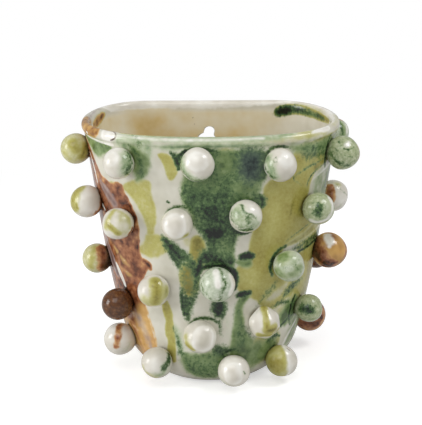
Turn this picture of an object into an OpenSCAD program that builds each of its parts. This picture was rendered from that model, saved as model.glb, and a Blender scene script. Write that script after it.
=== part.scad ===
// Terracotta wall planter: a thrown pot, squeezed oval and beaten flat at the back, with
// hand-rolled balls of clay pressed onto its front and sides.
// Millimetres. +Z is up and +Y points at the wall that the planter hangs on. The origin is on
// the underside of the foot, below the widest line of the mouth.
// Places on the wall are given by a turn about Z in degrees, 0 at the middle of the front and
// 90 at the widest line on the right, and by a height z.

/* [Vessel] */
// Height from the foot to the top of the lip
body_h = 194; // [180:1:230]
// Width of the mouth over the wall, below the lip
mouth_w = 199; // [180:1:230]
// Reach of the mouth in front of its widest line
mouth_front = 67; // [58:1:80]
// Width of the pot at the floor, if its edge weren't rounded
foot_w = 121; // [108:1:145]
// Reach of the front there, from the widest line
foot_front = 81; // [68:1:90]
// Reach of the flat back behind the widest line
back_reach = 62; // [52:1:75]
// Width of the flat strip of the back at the mouth
mouth_flat_w = 100; // [60:1:120]
// Width of the flat strip at the floor
foot_flat_w = 44; // [30:1:56]
// How far the sides belly out on their way up
belly = 0.43; // [0.2:0.01:0.55]
// How far they draw straight again below the lip
flare = 0.35; // [0.1:0.01:0.45]
// Squareness of the front's curve at the mouth, where 2 is a plain ellipse
mouth_square = 2.3; // [2:0.05:2.8]
// Squareness of the front's curve at the floor
foot_square = 2.2; // [2:0.05:2.8]
// Thickness of the wall
wall_t = 6; // [5:0.5:8]
// Thickness of the floor
floor_t = 8; // [6:0.5:12]

/* [Foot] */
// Height of the rounding between the wall and the foot
foot_round = 26; // [18:1:32]
// Depth of that rounding at the front and the sides
foot_tuck = 24; // [14:1:28]
// Depth of that rounding at the flat back
back_tuck = 18; // [8:1:24]

/* [Lip] */
// Height of the rolled lip
lip_h = 9; // [7:0.5:12]
// How far the lip stands proud of the wall, inside and out
lip_proud = 1.25; // [0.5:0.25:2]

/* [Keyhole] */
// Diameter of the round opening that passes over the screw's head
keyhole_head_d = 16; // [12:1:18]
// Width of the slot that hangs on the screw's shank
keyhole_slot_w = 8.5; // [5:0.5:10]
// From the top of the lip down to the middle of the slot's round end
keyhole_drop = 25; // [20:1:36]
// From there to the middle of the round opening
keyhole_travel = 9; // [8:0.5:16]
// Lean of the hand-cut slot away from upright, in degrees
keyhole_lean = 14; // [0:1:20]
// Sideways place of the slot's round end
keyhole_x = -1; // [-20:1:20]

/* [Clay balls] */
// Usual diameter of a ball
ball_d = 25; // [21:0.5:27]
// Depth of each ball that is pressed flat against the wall
ball_press = 3; // [2:0.25:4]
// From the top of the lip down to the top row of balls
rim_row_drop = 20; // [18:1:26]
// Height of the lowest row of balls
foot_row_z = 23; // [20:1:28]

/* [Hidden] */
// Glazes, as they pool on the balls
cream = [0.87, 0.85, 0.78];
olive = [0.63, 0.63, 0.33];
green = [0.36, 0.53, 0.38];
mint = [0.62, 0.71, 0.56];
amber = [0.70, 0.48, 0.25];
brown = [0.33, 0.20, 0.13];

// Each ball is [turn in degrees, lift over its row, more or less than the usual diameter, glaze].
// No two are alike: they are rolled and placed by hand.
rim_balls = [
    [-83, 0, -1, olive],
    [-39, 0, -1, cream],
    [-4, 2, 0.5, cream],
    [27, 0, 0, cream],
    [71, 0, 1, green],
    [119, 0, -0.5, mint],
];
upper_balls = [
    [-73, 4, 0.5, cream],
    [-44, -5, -0.5, cream],
    [-13, -1, -0.5, cream],
    [13, 5, 0.5, cream],
    [53, 4, 0, green],
    [105, -5, 0.5, cream],
];
middle_balls = [
    [-77, 0, -1.5, olive],
    [-27, -10, 0, cream],
    [2, -3, 2, mint],
    [37, 7, -0.5, mint],
    [75, 7, 3, amber],
    [117, -13, 1, brown],
];
lower_balls = [
    [-55, 7, 0, brown],
    [-5, -9, 1, cream],
    [62, 0, -2.5, green],
];
foot_balls = [
    [-63, 6, 0.5, cream],
    [-31, -1, -0.5, cream],
    [11, -4, 0, cream],
    [43, -3, 0, olive],
    [102, 6, 2.5, brown],
];
// Shares of the way from the lowest row to the top one
upper_share = 0.72;
middle_share = 0.43;
lower_share = 0.2;
rows = [
    ["rim", 1, rim_balls],
    ["upper", upper_share, upper_balls],
    ["middle", middle_share, middle_balls],
    ["lower", lower_share, lower_balls],
    ["foot", 0, foot_balls],
];
// One lump in the lower row isn't rolled round. Its place is given like a ball's, and its
// bumps as [down, sideways, outwards, diameter], as shares of its size.
nugget = [26, 0, 0, olive];
nugget_bumps = [
    [-0.24, -0.02, 0, 0.54],
    [-0.1, 0.18, 0.02, 0.54],
    [-0.02, -0.2, 0, 0.6],
    [0, 0, 0.18, 0.64],
    [0, 0, -0.18, 0.64],
    [0.14, 0.24, 0, 0.5],
    [0.17, -0.15, 0, 0.56],
    [0.24, 0.02, 0, 0.54],
];

// Lip: a bead round the top of the wall, thicker than the wall on both sides
lip_t = wall_t + 2*lip_proud;
lip_mid_z = body_h - lip_h/2;
lip_mid_out = lip_proud - lip_t/2;
// Where the bead leaves the wall, as an angle below its widest line
lip_start = 40;
// Height of the crease between the bead and the plain wall
crease_h = 1;
lip_crease_z = lip_mid_z - lip_h/2*sin(lip_start) - crease_h;

// Rounding inside, between the wall and the floor
bowl_round = foot_round - wall_t;
bowl_tuck = foot_tuck*bowl_round/foot_round;
bowl_back_tuck = back_tuck*bowl_round/foot_round;

// Least width of each back corner, beside the flat strip
corner_min_w = 5;
// How far a cut runs past the face that it goes through
cut_over = 2;
// How far the block that cuts a ball's seat reaches past the ball
block_over = 4;

// Turns at which the wall has an upright line of points. None lies on the flat of the back.
turns = concat([-180:9:-99], [-90:5:90], [99:9:180]);
turn_list = [for (part = turns) for (t = part) t];
wall_rings = 18;
bowl_rings = 12;
round_steps = 6;
lip_step = 26;

// Share of the foot's rounding left at height z, from 1 at its bottom to 0 at its top
function rounding(z, bottom, height) =
    z < bottom + height ? 1 - sqrt(max(0, 1 - pow(1 - (z - bottom)/height, 2))) : 0;

// Share of the way from the foot's outline to the mouth's, with the belly and the flare
function spread(z) =
    let (k = z/body_h, swell = k*(1 - k))
    k + belly*swell - flare*swell*(2*k - 1);

// A point of the pot's outline at height z, drawn in by tuck and pushed out by out.
// The front is one superellipse and each back corner a quarter ellipse beside the flat.
function outline_point(turn, z, tuck, back_in, out) =
    let (
        k = z/body_h,
        half_w = foot_w/2 + (mouth_w - foot_w)/2*spread(z) - tuck + out,
        front = foot_front + (mouth_front - foot_front)*spread(z) - tuck + out,
        back = back_reach - back_in + min(out, 0),
        flat = min(foot_flat_w/2 + (mouth_flat_w - foot_flat_w)/2*k, half_w - corner_min_w),
        power = 2/(foot_square + (mouth_square - foot_square)*k),
        s = sin(turn),
        c = abs(cos(turn))
    )
    abs(turn) <= 90
        ? [half_w*sign(s)*pow(abs(s), power), -front*pow(c, power), z]
        : [sign(turn)*(flat + (half_w - flat)*abs(s)), back*c, z];

// A point of the outer wall, which takes in the rounding of the foot
function wall_point(turn, z) =
    let (r = rounding(z, 0, foot_round))
    outline_point(turn, z, foot_tuck*r, back_tuck*r, 0);

// Direction straight out of the outer wall
function wall_normal(turn, z) =
    let (
        along = wall_point(turn + 0.5, z) - wall_point(turn - 0.5, z),
        up = wall_point(turn, z + 0.5) - wall_point(turn, z - 0.5),
        n = cross(along, up)
    )
    n/norm(n);

// Heights of the outer wall's rings, close together in the foot's rounding
outer_heights = concat(
    [for (i = [0 : round_steps - 1]) foot_round*(1 - cos(90*i/round_steps))],
    [for (i = [0 : wall_rings]) foot_round + (lip_crease_z - foot_round)*i/wall_rings]
);
// Heights of the bowl's rings, from the lip down to the floor
bowl_heights = concat(
    [for (i = [0 : bowl_rings])
        lip_crease_z + (floor_t + bowl_round - lip_crease_z)*i/bowl_rings],
    [for (i = [1 : round_steps]) floor_t + bowl_round*(1 - sin(90*i/round_steps))]
);

function outer_ring(z) = [for (t = turn_list) wall_point(t, z)];
function lip_ring(a) =
    [for (t = turn_list)
        outline_point(t, lip_mid_z + lip_h/2*sin(a), 0, 0, lip_mid_out + lip_t/2*cos(a))];
function bowl_ring(z) =
    let (r = rounding(z, floor_t, bowl_round))
    [for (t = turn_list) outline_point(t, z, bowl_tuck*r, bowl_back_tuck*r, -wall_t)];

// Two triangles for the cell between rings j and j + 1 and columns i and next
function cell(j, i, next, cols) =
    let (a = j*cols + i, b = j*cols + next)
    [[a, a + cols, b + cols], [a, b + cols, b]];

// The whole skin: up the outside, over the lip, down the bowl, with the foot and the floor
module vessel_skin() {
    rings = concat(
        [for (z = outer_heights) outer_ring(z)],
        [for (a = [-lip_start : lip_step : 180 + lip_start]) lip_ring(a)],
        [for (z = bowl_heights) bowl_ring(z)]
    );
    cols = len(turn_list);
    last = len(rings) - 1;
    under = len(rings)*cols;
    points = concat(
        [for (ring = rings) each ring],
        [[0, 0, 0], [0, 0, floor_t]]
    );
    sides = [
        for (j = [0 : last - 1], i = [0 : cols - 1]) each cell(j, i, (i + 1) % cols, cols)
    ];
    foot = [for (i = [0 : cols - 1]) [i, (i + 1) % cols, under]];
    floor_face = [
        for (i = [0 : cols - 1]) [last*cols + (i + 1) % cols, last*cols + i, under + 1]
    ];
    polyhedron(points = points, faces = concat(sides, foot, floor_face), convexity = 6);
}

// The round opening goes over a screw's head, and the slot above it rests on the shank
module keyhole() {
    slot_z = body_h - keyhole_drop;
    depth = wall_t + 2*cut_over;
    translate([keyhole_x, back_reach - wall_t - cut_over, slot_z])
        rotate([0, keyhole_lean, 0]) {
            rotate([-90, 0, 0]) cylinder(d = keyhole_slot_w, h = depth, $fn = 48);
            translate([-keyhole_slot_w/2, 0, -keyhole_travel])
                cube([keyhole_slot_w, depth, keyhole_travel]);
            translate([0, 0, -keyhole_travel])
                rotate([-90, 0, 0]) cylinder(d = keyhole_head_d, h = depth, $fn = 64);
        }
}

module vessel() {
    color([0.86, 0.84, 0.72])
        difference() {
            vessel_skin();
            keyhole();
        }
}

// A block behind the outer wall round one place. It has the same points and triangles as the
// vessel there, so that a ball cut by it seats on the wall face to face.
module wall_block(turn, z, reach) {
    seat = wall_point(turn, z);
    near_i = [
        for (i = [0 : len(turn_list) - 1])
            if (norm(wall_point(turn_list[i], z) - seat) < reach) i
    ];
    near_j = [
        for (j = [0 : len(outer_heights) - 1]) if (abs(outer_heights[j] - z) < reach) j
    ];
    first_i = max(0, min(near_i) - 1);
    first_j = max(0, min(near_j) - 1);
    cols = min(len(turn_list) - 1, max(near_i) + 1) - first_i + 1;
    ups = min(len(outer_heights) - 1, max(near_j) + 1) - first_j + 1;
    apex = cols*ups;
    points = concat(
        [for (j = [0 : ups - 1], i = [0 : cols - 1])
            wall_point(turn_list[first_i + i], outer_heights[first_j + j])],
        [[0, 0, z]]
    );
    front = [for (j = [0 : ups - 2], i = [0 : cols - 2]) each cell(j, i, i + 1, cols)];
    top = (ups - 1)*cols;
    below_above = [
        for (i = [0 : cols - 2]) each [[i, i + 1, apex], [top + i + 1, top + i, apex]]
    ];
    left_right = [
        for (j = [0 : ups - 2]) each [
            [(j + 1)*cols, j*cols, apex],
            [j*cols + cols - 1, (j + 1)*cols + cols - 1, apex]
        ]
    ];
    polyhedron(points = points, faces = concat(front, below_above, left_right), convexity = 4);
}

// Moves children to the middle of a ball, with +Z straight out of the wall and +X down it
module on_wall(turn, z, stand) {
    n = wall_normal(turn, z);
    translate(wall_point(turn, z) + stand*n)
        rotate([0, acos(n[2]), atan2(n[1], n[0])])
            children();
}

function row_z(share) = foot_row_z + share*(body_h - rim_row_drop - foot_row_z);

// A ball of clay, pressed onto the wall
module ball(place, share) {
    z = row_z(share) + place[1];
    d = ball_d + place[2];
    color(place[3])
        difference() {
            on_wall(place[0], z, d/2 - ball_press) sphere(d = d, $fn = 48);
            wall_block(place[0], z, d/2 + block_over);
        }
}

// The lump that isn't round, pinched between the fingers into blunt corners
module lump(place, share) {
    z = row_z(share) + place[1];
    d = ball_d + place[2];
    color(place[3])
        difference() {
            on_wall(place[0], z, d/2 - ball_press)
                hull()
                    for (bump = nugget_bumps)
                        translate([bump[0], bump[1], bump[2]]*d) sphere(d = bump[3]*d, $fn = 24);
            wall_block(place[0], z, d/2 + block_over);
        }
}

function ball_name(row, i) = str(row[0], "_ball_", i + 1);

vessel();
lump(nugget, lower_share);  // lower_nugget
for (row = rows, i = [0 : len(row[2]) - 1])
    ball(row[2][i], row[1]);
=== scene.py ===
import math

import bmesh
import bpy
import numpy as np
from mathutils import Matrix, Vector


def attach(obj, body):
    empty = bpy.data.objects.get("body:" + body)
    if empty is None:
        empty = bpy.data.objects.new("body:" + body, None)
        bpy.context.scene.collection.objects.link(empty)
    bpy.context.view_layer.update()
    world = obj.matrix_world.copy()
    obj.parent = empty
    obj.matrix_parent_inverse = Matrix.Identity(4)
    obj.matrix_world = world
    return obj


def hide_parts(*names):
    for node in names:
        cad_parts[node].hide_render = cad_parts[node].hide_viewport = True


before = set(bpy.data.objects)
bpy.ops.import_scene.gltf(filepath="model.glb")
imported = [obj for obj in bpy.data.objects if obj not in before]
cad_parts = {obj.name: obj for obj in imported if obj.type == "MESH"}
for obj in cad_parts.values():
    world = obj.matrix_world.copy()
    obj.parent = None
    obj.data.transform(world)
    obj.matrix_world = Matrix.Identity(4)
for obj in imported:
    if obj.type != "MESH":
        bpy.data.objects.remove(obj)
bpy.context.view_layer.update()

# A millimetre in metres
MM = 0.001

# Sizes of the pot in metres, the same as in the CAD part
BODY_H = 0.194
MOUTH_W = 0.199
MOUTH_FRONT = 0.067
FOOT_W = 0.121
FOOT_FRONT = 0.081
BACK_REACH = 0.062
MOUTH_FLAT_W = 0.100
FOOT_FLAT_W = 0.044
CORNER_MIN_W = 0.005
BELLY = 0.43
FLARE = 0.35
MOUTH_SQUARE = 2.3
FOOT_SQUARE = 2.2
WALL_T = 0.006
FLOOR_T = 0.008
FOOT_ROUND = 0.026
FOOT_TUCK = 0.024
BACK_TUCK = 0.018
LIP_H = 0.009
LIP_PROUD = 0.00125
LIP_START = 40
CREASE_H = 0.001
KEYHOLE_HEAD_D = 0.016
KEYHOLE_SLOT_W = 0.0085
KEYHOLE_DROP = 0.025
KEYHOLE_TRAVEL = 0.009
KEYHOLE_LEAN = 14
KEYHOLE_X = -0.001
BALL_D = 0.025
BALL_PRESS = 0.003
RIM_ROW_DROP = 0.020
FOOT_ROW_Z = 0.023

LIP_T = WALL_T + 2 * LIP_PROUD
LIP_MID_Z = BODY_H - LIP_H / 2
LIP_MID_OUT = LIP_PROUD - LIP_T / 2
LIP_CREASE_Z = LIP_MID_Z - LIP_H / 2 * math.sin(math.radians(LIP_START)) - CREASE_H
BOWL_ROUND = FOOT_ROUND - WALL_T
BOWL_TUCK = FOOT_TUCK * BOWL_ROUND / FOOT_ROUND
BOWL_BACK_TUCK = BACK_TUCK * BOWL_ROUND / FOOT_ROUND

# Fineness of the vessel's skin, the keyhole's two arcs, the balls and the floor's edge
COLUMNS = 460
WALL_STEP = 0.0012
BOWL_STEP = 0.0018
ROUND_STEPS = 14
LIP_STEPS = 26
DISC_STEPS = 14
SLOT_STEPS = 24
HEAD_STEPS = 48
BALL_FINENESS = 5
FLOOR_SIDES = 96

# How far the hand-made wall strays inwards from a true one, and the waves of its dents: height,
# waves round the pot, start in radians and radians for each metre upwards
WOBBLE = 0.0005
WOBBLE_WAVES = [(1, 2, 0.7, 9), (1, 3, -1.3, -21), (0.8, 5, 0, 34), (0.6, 8, 1.9, -52)]
# Half the distances over which the wall's direction is measured, in degrees and metres
NEAR_TURN = 0.5
NEAR_Z = 0.0005
# How deep in the wall a ball's flat seat lies
SEAT_DEPTH = 0.002
# Height and width of the slip squeezed out round a ball's seat
SLIP_H = 0.0016
SLIP_W = 0.0006
# How far a hand-rolled ball strays from a round one, in how many radians of wave from its middle
# to its side, and what makes these waves differ with the ball's turn in degrees and its height
BALL_STRAY = 0.0003
BALL_WAVES = 2.1
OWN_FOR_TURN = 0.37
OWN_FOR_HEIGHT = 90
# Least values that keep divisions sound
TINY = 1e-12
LEAST_SPREAD = 0.002
LEAST_FACING = 0.05
# Length of the line that stands for a mark with one place
DOT = 1e-6


def rounding(z, bottom, height):
    """Share of a rounding that is left at height z, from 1 at its bottom to 0 at its top."""
    left = np.clip(1 - (z - bottom) / height, 0, 1)
    return 1 - np.sqrt(1 - left**2)


def outline(turn, z, tuck=0.0, back_in=0.0, out=0.0):
    """Points of the pot's outline at height z, drawn in by tuck and pushed out by out.
    turn is in degrees, 0 at the middle of the front and 90 at the widest line on the right."""
    k = z / BODY_H
    swell = k * (1 - k)
    spread = k + BELLY * swell - FLARE * swell * (2 * k - 1)
    half_w = FOOT_W / 2 + (MOUTH_W - FOOT_W) / 2 * spread - tuck + out
    front = FOOT_FRONT + (MOUTH_FRONT - FOOT_FRONT) * spread - tuck + out
    back = BACK_REACH - back_in + np.minimum(out, 0)
    flat = np.minimum(FOOT_FLAT_W / 2 + (MOUTH_FLAT_W - FOOT_FLAT_W) / 2 * k, half_w - CORNER_MIN_W)
    power = 2 / (FOOT_SQUARE + (MOUTH_SQUARE - FOOT_SQUARE) * k)
    s = np.sin(np.radians(turn))
    c = np.abs(np.cos(np.radians(turn)))
    ahead = np.abs(turn) <= 90
    front_x = half_w * np.sign(s) * np.abs(s) ** power
    back_x = np.sign(turn) * (flat + (half_w - flat) * np.abs(s))
    x = np.where(ahead, front_x, back_x)
    y = np.where(ahead, -front * c**power, back * c)
    return np.stack([x, y, z + 0 * x], -1)


def wall_point(turn, z):
    """A point of the true outer wall, which takes in the rounding of the foot."""
    r = rounding(z, 0, FOOT_ROUND)
    return outline(np.float64(turn), z, FOOT_TUCK * r, BACK_TUCK * r)


def wall_normal(turn, z):
    """Direction straight out of the outer wall."""
    along = wall_point(turn + NEAR_TURN, z) - wall_point(turn - NEAR_TURN, z)
    up = wall_point(turn, z + NEAR_Z) - wall_point(turn, z - NEAR_Z)
    n = np.cross(along, up)
    return n / np.linalg.norm(n)


def wobble(turn, z):
    """Depth of the dents left by the hands, from 0 to 1."""
    a = np.radians(turn)
    waves = sum(size * np.sin(count * a + start + climb * z) for size, count, start, climb in WOBBLE_WAVES)
    return 0.5 + 0.5 * waves / sum(wave[0] for wave in WOBBLE_WAVES)


# Turns at which each ring's outline is worked out, the turn that stands for the back's middle, and
# one that lies as far beyond it as glaze is laid
TURNS = np.linspace(-180, 180, 721)
BACK_MIDDLE = 200
BEYOND = 240


def skin_rings():
    """The rings of the vessel's skin, up the outside, over the lip and down the bowl, each as
    height, tuck at the front, tuck at the back and distance out from the plain wall. The lip
    is flush with the wall on the inside."""
    rings = []
    for i in range(ROUND_STEPS):
        z = FOOT_ROUND * (1 - math.cos(math.pi / 2 * i / ROUND_STEPS))
        r = rounding(z, 0, FOOT_ROUND)
        rings.append((z, FOOT_TUCK * r, BACK_TUCK * r, 0.0))
    steps = round((LIP_CREASE_Z - FOOT_ROUND) / WALL_STEP)
    rings += [(z, 0.0, 0.0, 0.0) for z in np.linspace(FOOT_ROUND, LIP_CREASE_Z, steps + 1)]
    for a in np.radians(np.linspace(-LIP_START, 180, LIP_STEPS + 1)):
        reach = LIP_T / 2 if math.cos(a) > 0 else LIP_MID_OUT + WALL_T
        rings.append((LIP_MID_Z + LIP_H / 2 * math.sin(a), 0.0, 0.0, LIP_MID_OUT + reach * math.cos(a)))
    low = FLOOR_T + BOWL_ROUND
    steps = round((LIP_MID_Z - low) / BOWL_STEP)
    rings += [(z, 0.0, 0.0, -WALL_T) for z in np.linspace(LIP_MID_Z, low, steps + 1)[1:]]
    for i in range(1, ROUND_STEPS + 1):
        z = FLOOR_T + BOWL_ROUND * (1 - math.sin(math.pi / 2 * i / ROUND_STEPS))
        r = rounding(z, FLOOR_T, BOWL_ROUND)
        rings.append((z, BOWL_TUCK * r, BOWL_BACK_TUCK * r, -WALL_T))
    return rings


def ring_points(z, tuck, back_in, out):
    """One ring at even steps from the middle of the back, round by the left and the front,
    with how far to the right of the front's middle each point lies, and the same for TURNS."""
    stray = WOBBLE * wobble(TURNS, z) * (1 if z > 0 else 0)
    line = outline(TURNS, z, tuck, back_in, out - stray)
    middle = np.array([[0, line[0, 1], z]])
    line = np.vstack([middle, line, middle])
    along = np.concatenate([[0], np.cumsum(np.linalg.norm(np.diff(line, axis=0), axis=1))])
    half = along[-1] / 2
    steps = np.linspace(0, 2 * half, COLUMNS + 1)[:-1]
    points = np.stack([np.interp(steps, along, line[:, k]) for k in range(3)], 1)
    return points, steps - half, along - half


class Canvas:
    """The vessel's skin laid out flat, in metres: across to the right of the front's middle,
    and along from the foot up the outside, over the lip and down the bowl."""

    def __init__(self):
        made = [ring_points(*ring) for ring in skin_rings()]
        self.rings = [points for points, _, _ in made]
        self.turns = np.concatenate([[-BEYOND, -BACK_MIDDLE], TURNS, [BACK_MIDDLE, BEYOND]])
        self.reach = [np.concatenate([2 * along[:1], along, 2 * along[-1:]]) for _, _, along in made]
        front = np.array([[ring[0], outline(np.float64(0), *ring)[1]] for ring in skin_rings()])
        steps = np.linalg.norm(np.diff(front, axis=0), axis=1)
        ways = np.concatenate([[0], np.cumsum(steps)])
        heights = front[:, 0]
        first_lip = int(np.argmax(heights >= LIP_CREASE_Z - TINY))
        ways += heights[first_lip] - ways[first_lip]
        ways[:first_lip] = heights[:first_lip]
        self.ways = ways
        self.points = np.vstack([
            np.stack([across, np.full(len(across), way)], 1) for (_, across, _), way in zip(made, ways)
        ])

    def place(self, turn, way):
        """Where on the flat skin a turn and a way along it are."""
        j = int(np.argmin(np.abs(self.ways - way)))
        return np.interp(turn, self.turns, self.reach[j]), way


# Share of each side that is cut off at both of its ends, so that a line flows
CORNER_CUT = 0.25


def flowing(line, closed=False):
    """The line with its corners cut twice."""
    line = np.asarray(line, float)
    for _ in range(2):
        a = line if closed else line[:-1]
        b = np.roll(line, -1, 0) if closed else line[1:]
        from_a = (1 - CORNER_CUT) * a + CORNER_CUT * b
        from_b = CORNER_CUT * a + (1 - CORNER_CUT) * b
        cut = np.stack([from_a, from_b], 1).reshape(-1, line.shape[1])
        line = cut if closed else np.vstack([line[:1], cut, line[-1:]])
    return line


def to_segment(points, p, q):
    """Distance from each point to the segment from p to q, and the share of the way along it."""
    d = q - p
    share = np.clip((points - p) @ d / max(d @ d, TINY), 0, 1)
    return np.linalg.norm(points - (p + share[:, None] * d), axis=1), share


def depth_in_area(points, corners):
    """How far inside a closed outline each point of the flat skin is. Outside is negative."""
    nearest = np.full(len(points), np.inf)
    inside = np.zeros(len(points), bool)
    for p, q in zip(corners, np.roll(corners, -1, 0)):
        nearest = np.minimum(nearest, to_segment(points, p, q)[0])
        across = (p[1] > points[:, 1]) != (q[1] > points[:, 1])
        rise = q[1] - p[1] if abs(q[1] - p[1]) > TINY else TINY
        inside ^= across & (points[:, 0] < p[0] + (points[:, 1] - p[1]) / rise * (q[0] - p[0]))
    return np.where(inside, nearest, -nearest)


def depth_in_run(points, line, half_widths):
    """How far inside a run of glaze each point is, from its line and its half width there."""
    depth = np.full(len(points), -np.inf)
    for i in range(len(line) - 1):
        gap, share = to_segment(points, line[i], line[i + 1])
        width = half_widths[i] + share * (half_widths[i + 1] - half_widths[i])
        depth = np.maximum(depth, width - gap)
    return depth


# Distance over which a mark on a ball rises from nothing to a half of its level at its edge: for
# each metre of its half width, and at most
FADE_SHARE = 1.4
FADE = 0.005
# The glazes that are laid over each piece's own colour, from the lowest to the top one
LAYERS = [
    "tan", "straw", "pale", "olive", "sage", "green", "slate", "brown", "amber", "lilac", "cream", "dark",
    "clay",
]
# The glaze pools and darkens round the seats of the balls, which also paints the shade where they meet the
# wall, over this distance
POOL_AND_SHADE = "pool"
POOL_AND_SHADE_W = 0.0016


def strength(depth, level, fade):
    """Strength of a glaze, which is half its level at its edge."""
    return level * np.clip(0.5 + depth / (2 * fade), 0, 1)


# Level of the warm wash that the bowl has all over
BOWL_WASH = 0.56

# The large green run down the front, in turns and millimetres along the skin, which is the height
# up to the lip
FRONT_RUN = [
    (-13, 183), (-4, 186), (6, 186), (14, 186), (23, 184), (25, 178), (25, 168), (23, 160), (20, 153),
    (23, 148), (23, 142), (19, 137), (14, 124), (11, 117), (10, 108), (11, 99), (9, 90), (4, 92), (-2, 95),
    (-4, 100), (-2, 108), (-2, 116), (-5, 122), (-8, 128), (-8, 137), (-11, 143), (-12.5, 150), (-12, 158),
    (-10, 165), (-11, 172), (-14, 177), (-15, 182),
]
# The run low down on the left of it, and the one on its right
LOW_RUN = [
    (-19, 30), (-12, 29), (-6, 30), (0, 31), (6, 35), (10, 31), (10, 22), (9, 10), (2, 4), (-8, 4), (-16, 8),
    (-20, 17),
]
SIDE_RUN = [
    (12, 64), (16, 61), (17, 50), (19, 42), (26, 37), (33, 37), (40, 42), (46, 36), (44, 20), (30, 8),
    (16, 8), (11, 16), (11, 34), (10.5, 48),
]
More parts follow.
